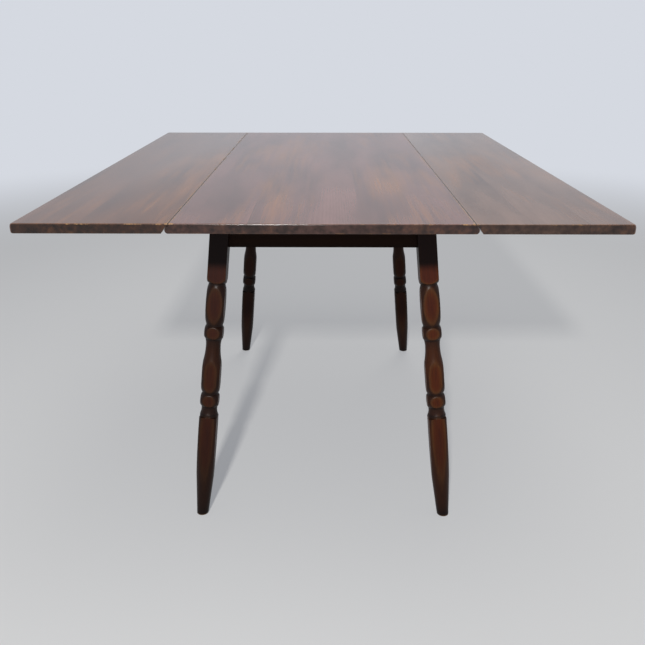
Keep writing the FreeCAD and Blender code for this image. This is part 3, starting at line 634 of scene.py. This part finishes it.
def make_leaf(side, leaves, wood):
    """One leaf with its outer long edge rounded over, in place of its CAD node. Its inset
    attribute says how far each point was moved, so that the finish knows the old edge."""
    node_name = "leaf_" + side
    low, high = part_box(node_name)
    outwards = 1 if side == "right" else -1
    start = max(abs(low.x), abs(high.x)) - leaves.margin
    work = merged(frame["nodes"][node_name].data)
    bmesh.ops.bisect_plane(work, geom=work.verts[:] + work.edges[:] + work.faces[:], dist=HAIR,
                           plane_co=(outwards * start, 0, 0), plane_no=(1, 0, 0))
    # Rows of faces for the roundings, closer together towards the leaf's two faces.
    for row in range(leaves.rows):
        part = 1 - math.sin(row * TAU / 4 / leaves.rows)
        for height in (high.z - leaves.upper_drop * part, low.z + leaves.lower_rise * part):
            strip = [face for face in work.faces
                     if all(outwards * vertex.co.x > start - HAIR for vertex in face.verts)]
            cut = dict.fromkeys(piece for face in strip for piece in (face, *face.edges, *face.verts))
            bmesh.ops.bisect_plane(work, geom=list(cut), dist=HAIR, plane_co=(0, 0, height),
                                   plane_no=(0, 0, 1))
    inset = work.verts.layers.float.new("inset")
    for vertex in work.verts:
        part = up_to_one((outwards * vertex.co.x - start) / leaves.margin)
        vertex[inset] = part * leaf_edge_inset(leaves, vertex.co.z - low.z, high.z - vertex.co.z)
        vertex.co.x -= outwards * vertex[inset]
    bmesh.ops.recalc_face_normals(work, faces=work.faces)
    for face in work.faces:
        face.smooth = True
    for edge in work.edges:
        edge.smooth = edge.calc_face_angle(0.0) < leaves.crease
    mesh = bpy.data.meshes.new("rounded_" + node_name)
    work.to_mesh(mesh)
    work.free()
    if "custom_normal" in mesh.attributes:
        mesh.attributes.remove(mesh.attributes["custom_normal"])
    mesh.materials.clear()
    mesh.materials.append(wood)
    leaf = new_object("rounded_" + node_name, mesh)
    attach(leaf, node_name)
    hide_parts(node_name)


# ---- legs ----
def arc_rows(start, through, end, step):
    """Points after start on the arc through three (height, radius) points."""
    first, middle, last = complex(*start), complex(*through), complex(*end)
    ratio = (last - first) / (middle - first)
    centre = first - (first - middle) * (ratio - abs(ratio) ** 2) / (2j * ratio.imag)
    turn = cmath.phase((last - centre) / (first - centre))
    count = max(2, round(abs(turn) * abs(first - centre) / step))
    points = [centre + (first - centre) * cmath.exp(1j * turn * part / count)
              for part in range(1, count + 1)]
    return [(point.real, point.imag) for point in points]


def line_rows(start, end, step):
    """Points after start on a straight run."""
    count = max(1, round(math.dist(start, end) / step))
    run, fall = end[0] - start[0], end[1] - start[1]
    return [(start[0] + run * part / count, start[1] + fall * part / count)
            for part in range(1, count + 1)]


def leg_slant(legs):
    """How much longer a leg's axis is than its height."""
    return math.sqrt(1 + math.tan(legs.splay_x) ** 2 + math.tan(legs.splay_y) ** 2)


def leg_profile(legs, low, high):
    """(height, radius) rows of the turning between two heights, the grooves' heights, the
    runs of height that hands rub, and where the square block begins."""
    ring = legs.taper_height
    cove = ring + legs.ring_height
    lower_bead = cove + legs.cove_height
    vase = lower_bead + legs.bead_height + legs.groove_height
    crown = vase + legs.vase_base
    sweep = crown + legs.vase_crown
    neck = sweep + legs.vase_sweep
    upper_bead = neck + legs.neck_height
    barrel = upper_bead + legs.bead_height + legs.groove_height
    block = barrel + legs.barrel_height + legs.groove_height
    spare = 1.0 * MM
    outer = legs.stock / math.sqrt(2) + spare
    groove = legs.groove_radius
    # The sweep is hollow, so on its way it is nearer to the neck's radius.
    sweep_waist = 0.36 * legs.vase_shoulder + 0.64 * legs.neck_radius
    # The ends keep clear of other rows by this much, as they slide when they are levelled.
    level_room = 2 * legs.stock * (leg_slant(legs) - 1) + 10 * MM

    def taper_radius(height):
        return legs.foot_radius + (legs.knee_radius - legs.foot_radius) * height / legs.knee_height

    # Each straight run by its end, and each arc by a point on the way and its end.
    steps = [
        (low + level_room / 2, taper_radius(low + level_room / 2)),
        (legs.knee_height, legs.knee_radius),
        ((legs.knee_height + ring) / 2, legs.belly_radius, ring, legs.taper_top_radius),
        (ring + 0.3 * MM, legs.ring_radius),
        (cove, legs.ring_radius),
        (cove + legs.cove_height / 2, legs.cove_radius, lower_bead, groove),
        (lower_bead + legs.bead_height / 2, legs.bead_radius, lower_bead + legs.bead_height, groove),
        (vase, groove),
        (vase + 0.35 * legs.vase_base, (groove + 2 * legs.vase_radius) / 3,
         crown, legs.vase_radius - legs.vase_fall),
        (crown + 0.4 * legs.vase_crown, legs.vase_radius, sweep, legs.vase_shoulder),
        (sweep + 0.42 * legs.vase_sweep, sweep_waist, neck, legs.neck_radius),
        (neck + 0.6 * legs.neck_height, legs.neck_radius + 0.5 * MM, upper_bead, groove),
        (upper_bead + legs.bead_height / 2, legs.bead_radius, upper_bead + legs.bead_height, groove),
        (barrel, groove),
        (barrel + legs.barrel_height / 2, legs.barrel_radius, barrel + legs.barrel_height, groove),
        (block, groove),
        (block + 0.4 * legs.shoulder_height, (2 * groove + 3 * outer) / 5,
         block + legs.shoulder_height, outer),
        (high - level_room, outer),
    ]
    rows = [(low, taper_radius(low))]
    for step in steps:
        if len(step) == 2:
            rows += line_rows(rows[-1], step, legs.line_step)
        else:
            rows += arc_rows(rows[-1], step[:2], step[2:], legs.arc_step)
    rows.append((high, outer))
    grooves = [cove, lower_bead, lower_bead + legs.bead_height + legs.groove_height / 2, upper_bead,
               upper_bead + legs.bead_height + legs.groove_height / 2,
               barrel + legs.barrel_height + legs.groove_height / 2]
    handled = [(low, ring), (crown, upper_bead)]
    return rows, grooves, handled, block


def turned_from_square():
    """Tree that cuts a round turning by its square stock, leans it and levels its ends."""
    tree, given = new_tree("turned_from_square_stock", {
        "Turning": "Geometry", "Half stock": "Float", "Corner reach": "Float", "Softness": "Float",
        "Foot": "Vector", "Lean axis": "Vector", "Lean": "Float", "Axis": "Vector",
        "Low end": "Float", "High end": "Float", "Floor side": "Float", "Top side": "Float",
        "Crease": "Float", "Wood": "Material"}, "Leg")
    place = add(tree, "GeometryNodeInputPosition")
    spread = add(tree, "ShaderNodeSeparateXYZ", (place,))
    flat_place = add(tree, "ShaderNodeCombineXYZ", (spread.outputs[0], spread.outputs[1]))
    radius = add(tree, VECTOR_MATH, (flat_place,), operation="LENGTH").outputs["Value"]
    radius = add(tree, MATH, (radius, 1e-6), operation="MAXIMUM")
    wide = add(tree, MATH, (spread.outputs[0],), operation="ABSOLUTE")
    deep = add(tree, MATH, (spread.outputs[1],), operation="ABSOLUTE")
    reach = add(tree, MATH, (wide, deep), operation="MAXIMUM")
    reach = add(tree, MATH, (reach, 1e-7), operation="MAXIMUM")
    face = add(tree, MATH, (radius, reach), operation="DIVIDE")
    face = add(tree, MATH, (face, given["Half stock"]), operation="MULTIPLY")
    face = add(tree, MATH, (face, given["Corner reach"], given["Softness"]), operation="SMOOTH_MIN")
    over = add(tree, MATH, (radius, face), operation="SUBTRACT")
    over = add(tree, MATH, (over, 1 / MM), operation="MULTIPLY")
    shown = add(tree, MATH, (radius, face, given["Softness"]), operation="SMOOTH_MIN")
    scale = add(tree, MATH, (shown, radius), operation="DIVIDE")
    moved = add(tree, VECTOR_MATH, {0: flat_place, 3: scale}, operation="SCALE")
    lifted = add(tree, "ShaderNodeCombineXYZ", {2: spread.outputs[2]})
    moved = add(tree, VECTOR_MATH, (moved, lifted), operation="ADD")

    shape = add(tree, "GeometryNodeStoreNamedAttribute",
                {"Geometry": given["Turning"], "Name": "over", "Value": over},
                data_type="FLOAT", domain="POINT")
    shape = add(tree, "GeometryNodeSetPosition", {"Geometry": shape, "Position": moved})
    shape = add(tree, "GeometryNodeStoreNamedAttribute",
                {"Geometry": shape, "Name": "own", "Value": add(tree, "GeometryNodeInputPosition")},
                data_type="FLOAT_VECTOR", domain="POINT")
    lean = add(tree, "FunctionNodeAxisAngleToRotation",
               {"Axis": given["Lean axis"], "Angle": given["Lean"]})
    shape = add(tree, "GeometryNodeTransform",
                {"Geometry": shape, "Translation": given["Foot"], "Rotation": lean})

    # The two end rows slide along the leg's axis until they are level.
    own = add(tree, "GeometryNodeInputNamedAttribute", {"Name": "own"}, data_type="FLOAT_VECTOR")
    own_height = add(tree, "ShaderNodeSeparateXYZ", (own.outputs["Attribute"],)).outputs[2]
    now = add(tree, "ShaderNodeSeparateXYZ", (add(tree, "GeometryNodeInputPosition"),)).outputs[2]
    rise = add(tree, "ShaderNodeSeparateXYZ", (given["Axis"],)).outputs[2]
    for end, level, operation in (("Low end", "Floor side", "LESS_THAN"),
                                  ("High end", "Top side", "GREATER_THAN")):
        chosen = add(tree, "FunctionNodeCompare", (own_height, given[end]), operation=operation)
        lack = add(tree, MATH, (given[level], now), operation="SUBTRACT")
        lack = add(tree, MATH, (lack, rise), operation="DIVIDE")
        slide = add(tree, VECTOR_MATH, {0: given["Axis"], 3: lack}, operation="SCALE")
        shape = add(tree, "GeometryNodeSetPosition",
                    {"Geometry": shape, "Selection": chosen, "Offset": slide})
    shape = add(tree, "GeometryNodeSetShadeSmooth", {"Geometry": shape}, domain="FACE")
    bend = add(tree, "GeometryNodeInputMeshEdgeAngle")
    sharp = add(tree, "FunctionNodeCompare", (bend, given["Crease"]), operation="GREATER_THAN")
    shape = add(tree, "GeometryNodeSetShadeSmooth",
                {"Geometry": shape, "Selection": sharp, "Shade Smooth": False}, domain="EDGE")
    close_tree(tree, shape, given["Wood"])
    return tree


def make_leg(name, signs, legs, tree, wood):
    """One leg in place of its CAD node, which gives its foot and its level ends."""
    low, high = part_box("leg_" + name)
    glide_low, glide_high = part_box("foot_glide_" + name)
    slant = leg_slant(legs)
    rows, grooves, handled, block = leg_profile(legs, low.z * slant, high.z * slant)
    mesh = lathe("leg_" + name, rows, legs.segments)
    # From 0 to 1: how deep a point lies in a groove, where dirt gathers; how far it lies
    # inside a run that hands rub; how far up the block past the line of the top's shadow,
    # for a painted shadow there; and how much painted shade this leg takes, darker on the left
    # and back legs as if lit from the front right.
    groove_reach = 2.6 * MM
    handled_fade = 25 * MM
    # Painted shadow: the block is drawn darker above this height, where the top's shadow falls on it.
    block_shadow_line = block + 36 * MM
    painted_block_shadow_fade = 12 * MM
    painted_block_shadow_most = 0.8
    marks = {"crevice": [], "handled": [], "painted_block_shadow": [], "painted_leg_shade": []}
    for vertex in mesh.vertices:
        height = vertex.co.z
        near = min(abs(height - groove) for groove in grooves)
        inside = max(min(height - start, end - height) for start, end in handled)
        marks["crevice"].append(math.exp(-(near / groove_reach) ** 2))
        marks["handled"].append(up_to_one(inside / handled_fade))
        marks["painted_block_shadow"].append(painted_block_shadow_most * up_to_one((height - block_shadow_line) / painted_block_shadow_fade))
        marks["painted_leg_shade"].append(LEG_PAINTED_SHADE[name])
    for mark, values in marks.items():
        mesh.attributes.new(mark, "FLOAT", "POINT").data.foreach_set("value", values)
    host = new_object("turning_" + name, mesh)
    axis = Vector((-signs[0] * math.tan(legs.splay_x), -signs[1] * math.tan(legs.splay_y), 1))
    axis.normalize()
    up = Vector((0, 0, 1))
    half = legs.stock / 2
    foot = (glide_low + glide_high) / 2
    use_tree(host, tree, {
        "Half stock": half,
        "Corner reach": half * math.sqrt(2) - legs.ease * (math.sqrt(2) - 1),
        "Softness": legs.blend,
        "Foot": (foot.x, foot.y, 0.0),
        "Lean axis": up.cross(axis).normalized(),
        "Lean": up.angle(axis),
        "Axis": axis,
        "Low end": rows[0][0] + HAIR,
        "High end": rows[-1][0] - HAIR,
        "Floor side": low.z,
        "Top side": high.z,
        "Crease": legs.crease,
        "Wood": wood,
    })
    leg = plain_object(host, "turned_leg_" + name)
    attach(leg, "root")
    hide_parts("leg_" + name)


# ---- screws ----
def slotted_screws():
    """Tree that cuts a slot in a screw and drives one in at each point, along its aim."""
    tree, given = new_tree("slotted_screws_at_places", {
        "Places": "Geometry", "Screw": "Object", "Head radius": "Float", "Slot width": "Float",
        "Slot depth": "Float", "Seed": "Int", "Steel": "Material"}, "Screws")
    blank = add(tree, "GeometryNodeObjectInfo", {"Object": given["Screw"]}).outputs["Geometry"]
    # The cutter reaches past the head's rim, and half of it stands out of the head's face.
    across = add(tree, MATH, (given["Head radius"], 2.4), operation="MULTIPLY")
    depth = add(tree, MATH, (given["Slot depth"], 2.0), operation="MULTIPLY")
    size = add(tree, "ShaderNodeCombineXYZ", (across, given["Slot width"], depth))
    cutter = add(tree, "GeometryNodeMeshCube", {"Size": size})
    screw = add(tree, "GeometryNodeMeshBoolean", {"Mesh 1": blank, "Mesh 2": cutter},
                operation="DIFFERENCE")
    aim = add(tree, "GeometryNodeInputNamedAttribute", {"Name": "aim"}, data_type="FLOAT_VECTOR")
    chance = add(tree, "FunctionNodeRandomValue", {"Seed": given["Seed"]}, data_type="FLOAT")
    chance.inputs[3].default_value = TAU / 2
    turn = add(tree, "FunctionNodeAxisAngleToRotation", {"Axis": (0, 0, 1), "Angle": chance.outputs[1]})
    turn = add(tree, "FunctionNodeAlignRotationToVector",
               {"Rotation": turn, "Vector": aim.outputs["Attribute"]}, axis="Z")
    screws = add(tree, "GeometryNodeInstanceOnPoints",
                 {"Points": given["Places"], "Instance": screw, "Rotation": turn})
    close_tree(tree, screws, given["Steel"])
    return tree


def screw_places(node_name):
    """Each screw of a CAD node as (end of its head, direction of its point, length, radius)."""
    work = merged(frame["nodes"][node_name].data)
    places = []
    waiting = set(work.verts)
    while waiting:
        start = min(waiting, key=lambda vertex: vertex.index)
        island = {start}
        unseen = [start]
        while unseen:
            vertex = unseen.pop()
            for link in vertex.link_edges:
                other = link.other_vert(vertex)
                if other not in island:
                    island.add(other)
                    unseen.append(other)
        waiting -= island
        points = [vertex.co for vertex in island]
        low = Vector([min(point[axis] for point in points) for axis in range(3)])
        high = Vector([max(point[axis] for point in points) for axis in range(3)])
        size = high - low
        middle = (low + high) / 2
        along = max(range(3), key=lambda axis: size[axis])
        others = [axis for axis in range(3) if axis != along]
        widest = max(points, key=lambda point: math.hypot(
            *(point[axis] - middle[axis] for axis in others)))
        aim = Vector((0, 0, 0))
        aim[along] = 1.0 if widest[along] < middle[along] else -1.0
        places.append((middle - aim * size[along] / 2, aim, size[along], size[others[0]] / 2))
    work.free()
    return places


def screw_blank(kind, radius, head, reach, screws):
    """Screw without its slot, its point along +Z and the end of its head at the origin."""
    tip_radius = 0.15 * MM
    if kind == "countersunk":
        # A thin rim, and then a cone of 90 degrees.
        rim = 0.12 * MM
        rows = [(0.0, head * 0.995), (rim, head), (head - radius, radius)]
    else:
        # A quarter of an ellipse, and a flat underside.
        height = 0.62 * head
        rings = 7
        turns = [TAU / 4 * ring / rings for ring in range(1, rings)]
        rows = [(height * (1 - math.cos(turn)), head * math.sin(turn)) for turn in turns]
        rows += [(height, head), (height + 0.05 * MM, radius)]
    rows += [(reach - screws.point, radius), (reach - 0.02 * MM, tip_radius)]
    return lathe("screw_blank", rows, screws.segments)


def make_screws(node_name, body, kind, radius, screws, tree, steel):
    """The slotted screws of one body in place of their CAD node."""
    places = screw_places(node_name)
    head, reach = places[0][3], places[0][2]
    blank = new_object("screw_blank", screw_blank(kind, radius, head, reach, screws))
    mesh = bpy.data.meshes.new("places")
    mesh.from_pydata([place[0] for place in places], [], [])
    aims = mesh.attributes.new("aim", "FLOAT_VECTOR", "POINT")
    for item, place in zip(aims.data, places):
        item.vector = place[1]
    host = new_object("places", mesh)
    use_tree(host, tree, {
        "Screw": blank,
        "Head radius": head,
        "Slot width": screws.slot_width,
        "Slot depth": screws.slot_depth,
        "Seed": screws.seed + len(node_name),
        "Steel": steel,
    })
    made = plain_object(host, "slotted_" + node_name)
    discard(blank)
    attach(made, body)
    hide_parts(node_name)


# ---- stage ----
def seen_rays(tree):
    """1 for the rays of the camera, gloss and glass, 0 for those that light the table."""
    path = add(tree, "ShaderNodeLightPath").outputs
    seen = add(tree, MATH, (path["Is Camera Ray"], path["Is Glossy Ray"]), operation="MAXIMUM")
    return add(tree, MATH, (seen, path["Is Transmission Ray"]), operation="MAXIMUM")


def make_floor(stage):
    """Round floor that fades into the backdrop and is clear from below. Its glow makes it
    paler to the camera alone and lights nothing."""
    mesh = bpy.data.meshes.new("floor")
    work = bmesh.new()
    bmesh.ops.create_circle(work, cap_ends=True, segments=96, radius=stage.floor_radius)
    work.to_mesh(mesh)
    work.free()
    floor = new_object("floor", mesh)
    material, tree = new_material("plain_pale_floor")
    place = add(tree, "ShaderNodeTexCoord").outputs["Object"]
    reach = add(tree, VECTOR_MATH, (place,), operation="LENGTH").outputs["Value"]
    far = add(tree, MAP_RANGE,
              (reach, stage.floor_fade, 2.2 * stage.floor_fade, stage.floor_glow, 1.0),
              interpolation_type="SMOOTHSTEP")
    seen = seen_rays(tree)
    far = add(tree, MATH, (far, seen), operation="MULTIPLY")
    paint = add(tree, MIX,
                {0: seen, 6: opaque(stage.floor_bounce), 7: opaque(stage.floor)}, data_type="RGBA")
    paint = add(tree, "ShaderNodeBsdfDiffuse", {"Color": paint})
    glow = add(tree, "ShaderNodeEmission", {"Color": opaque(stage.backdrop), "Strength": 1.0})
    above = add(tree, "ShaderNodeMixShader", (far, paint, glow))
    below = add(tree, "ShaderNodeNewGeometry").outputs["Backfacing"]
    clear = add(tree, "ShaderNodeBsdfTransparent")
    shown = add(tree, "ShaderNodeMixShader", (below, above, clear))
    add(tree, "ShaderNodeOutputMaterial", {"Surface": shown})
    mesh.materials.append(material)


def make_world(stage):
    """Even light, and a pale backdrop that the camera, gloss and glass see."""
    world = bpy.data.worlds.new("studio")
    world.use_nodes = True
    tree = world.node_tree
    tree.nodes.clear()
    white = (1.0, 1.0, 1.0, 1.0)
    light = add(tree, "ShaderNodeBackground", {"Color": white, "Strength": stage.even_light})
    backdrop = add(tree, "ShaderNodeBackground", {"Color": opaque(stage.backdrop), "Strength": 1.0})
    both = add(tree, "ShaderNodeMixShader", (seen_rays(tree), light, backdrop))
    add(tree, "ShaderNodeOutputWorld", {"Surface": both})
    bpy.context.scene.world = world


def make_lamps():
    """A key from the front, 29 degrees up, a broad one overhead and a weak one behind."""
    lamps = {
        "key": ((-0.35, -3.20, 2.22), (0.0, -0.3, 0.5), 0.2, 98.0),
        "overhead": ((0.3, 0.2, 3.4), (0.0, 0.0, 0.7), 2.6, 18.0),
        "behind": ((0.6, 2.6, 3.2), (0.0, 0.3, 0.5), 2.0, 24.0),
    }
    for name, (place, target, size, watts) in lamps.items():
        light = bpy.data.lights.new(name, "AREA")
        light.shape = "SQUARE"
        light.size = size
        light.energy = watts
        lamp = new_object(name, light)
        lamp.location = place
        lamp.rotation_euler = (Vector(target) - Vector(place)).to_track_quat("-Z", "Y").to_euler()


def make_camera(stage):
    """The camera, aimed by its pitch and yaw."""
    data = bpy.data.cameras.new("camera")
    data.sensor_width = 36.0
    data.lens = stage.lens
    camera = new_object("camera", data)
    camera.location = stage.camera_place
    camera.rotation_euler = (math.pi / 2 - stage.camera_pitch, 0.0, stage.camera_yaw)
    bpy.context.scene.camera = camera


# ---- operators ----
class FinishTop(bpy.types.Operator):
    """Round the leaves' long edges, and stain and lacquer the centre panel and the leaves"""
    bl_idname = "drop_leaf_table.finish_top"
    bl_label = "Finish the top"

    def execute(self, context):
        finish = context.scene.table_finishes
        leaves = context.scene.table_leaves
        give("top_centre", satin_top_maple(
            finish, "centre", finish.top_light, finish.top_sawn,
            seed=3.0, arris_wear=0.8, seam_wear=0.8))
        make_leaf("left", leaves, satin_top_maple(
            finish, "left_leaf", finish.left_light, finish.left_sawn,
            seed=5.0, arris_wear=0.9, seam_wear=1.0))
        make_leaf("right", leaves, satin_top_maple(
            finish, "right_leaf", finish.right_light, finish.top_sawn,
            seed=8.0, arris_wear=0.9, seam_wear=0.4))
        return {"FINISHED"}


class TurnLegs(bpy.types.Operator):
    """Turn the four legs from square stock and finish them"""
    bl_idname = "drop_leaf_table.turn_legs"
    bl_label = "Turn the legs"

    def execute(self, context):
        legs = context.scene.table_legs
        tree = turned_from_square()
        wood = turned_maple(context.scene.table_finishes)
        for name, signs in CORNERS.items():
            make_leg(name, signs, legs, tree, wood)
        return {"FINISHED"}


class FinishFrame(bpy.types.Operator):
    """Stain the aprons, corner blocks and butterfly wings"""
    bl_idname = "drop_leaf_table.finish_frame"
    bl_label = "Finish the frame"

    def execute(self, context):
        finish = context.scene.table_finishes
        lengthwise = frame_maple(finish, "dark_stained_maple_lengthwise", (0, 0, 0))
        crosswise = frame_maple(finish, "dark_stained_maple_crosswise", (0, 0, math.pi / 2))
        for end in ("front", "back"):
            give("apron_" + end, crosswise)
        for side in SIDES:
            give("apron_" + side, lengthwise)
        for name, signs in CORNERS.items():
            slanting = frame_maple(finish, "dark_stained_maple_block_" + name,
                                   (0, 0, signs[0] * signs[1] * -math.pi / 4))
            give("corner_block_" + name, slanting)
            give("wing_" + name, lengthwise)
        return {"FINISHED"}


class FinishHinges(bpy.types.Operator):
    """Dull the plated hinges and pins of the leaves and wings"""
    bl_idname = "drop_leaf_table.finish_hinges"
    bl_label = "Finish the hinges"

    def execute(self, context):
        steel = dulled_plate_steel(context.scene.table_finishes)
        for node_name in frame["nodes"]:
            if "hinge" in node_name and "screws" not in node_name:
                give(node_name, steel)
        return {"FINISHED"}


class DriveScrews(bpy.types.Operator):
    """Drive slotted screws into the hinges, corner blocks and top"""
    bl_idname = "drop_leaf_table.drive_screws"
    bl_label = "Drive the screws"

    def execute(self, context):
        screws = context.scene.table_screws
        tree = slotted_screws()
        steel = plated_screw_steel(context.scene.table_finishes)
        for side in SIDES:
            for kind, body in (("fixed", "root"), ("moving", "leaf_" + side)):
                make_screws("leaf_hinge_screws_{}_{}".format(kind, side), body, "countersunk",
                            screws.hinge_shank, screws, tree, steel)
        make_screws("wing_hinge_screws", "root", "countersunk", screws.wing_shank, screws, tree, steel)
        for name in CORNERS:
            make_screws("wing_screws_" + name, "wing_" + name, "countersunk", screws.wing_shank,
                        screws, tree, steel)
        for node_name in ("corner_block_screws", "tabletop_screws"):
            make_screws(node_name, "root", "round", screws.frame_shank, screws, tree, steel)
        return {"FINISHED"}


class FinishGlides(bpy.types.Operator):
    """Give the foot glides their worn steel"""
    bl_idname = "drop_leaf_table.finish_glides"
    bl_label = "Finish the glides"

    def execute(self, context):
        steel = worn_glide_steel(context.scene.table_finishes)
        for name in CORNERS:
            give("foot_glide_" + name, steel)
        return {"FINISHED"}


class SetStage(bpy.types.Operator):
    """Make the floor, the backdrop, the lamps and the camera"""
    bl_idname = "drop_leaf_table.set_stage"
    bl_label = "Set the stage"

    def execute(self, context):
        stage = context.scene.table_stage
        make_floor(stage)
        make_world(stage)
        make_lamps()
        make_camera(stage)
        return {"FINISHED"}


OPERATORS = (FinishTop, TurnLegs, FinishFrame, FinishHinges, DriveScrews, FinishGlides, SetStage)


class TablePanel(bpy.types.Panel):
    """Lists the steps of the table and their sizes and colours"""
    bl_idname = "VIEW3D_PT_drop_leaf_table"
    bl_label = "Drop-leaf table"
    bl_space_type = "VIEW_3D"
    bl_region_type = "UI"
    bl_category = "Drop-leaf table"

    def draw(self, context):
        for operator in OPERATORS:
            self.layout.operator(operator.bl_idname)
        for key, group in SETTINGS.items():
            box = self.layout.box()
            for name in group.__annotations__:
                box.prop(getattr(context.scene, key), name)


def register():
    for group in SETTINGS.values():
        bpy.utils.register_class(group)
    for operator in OPERATORS:
        bpy.utils.register_class(operator)
    bpy.utils.register_class(TablePanel)
    for key, group in SETTINGS.items():
        setattr(bpy.types.Scene, key, PointerProperty(type=group))


def unregister():
    for key in SETTINGS:
        delattr(bpy.types.Scene, key)
    bpy.utils.unregister_class(TablePanel)
    for operator in reversed(OPERATORS):
        bpy.utils.unregister_class(operator)
    for group in reversed(SETTINGS.values()):
        bpy.utils.unregister_class(group)


def main():
    register()
    bpy.context.scene.view_settings.view_transform = "Standard"
    table = bpy.ops.drop_leaf_table
    table.finish_top()
    table.turn_legs()
    table.finish_frame()
    table.finish_hinges()
    table.drive_screws()
    table.finish_glides()
    table.set_stage()


if __name__ == "__main__":
    main()
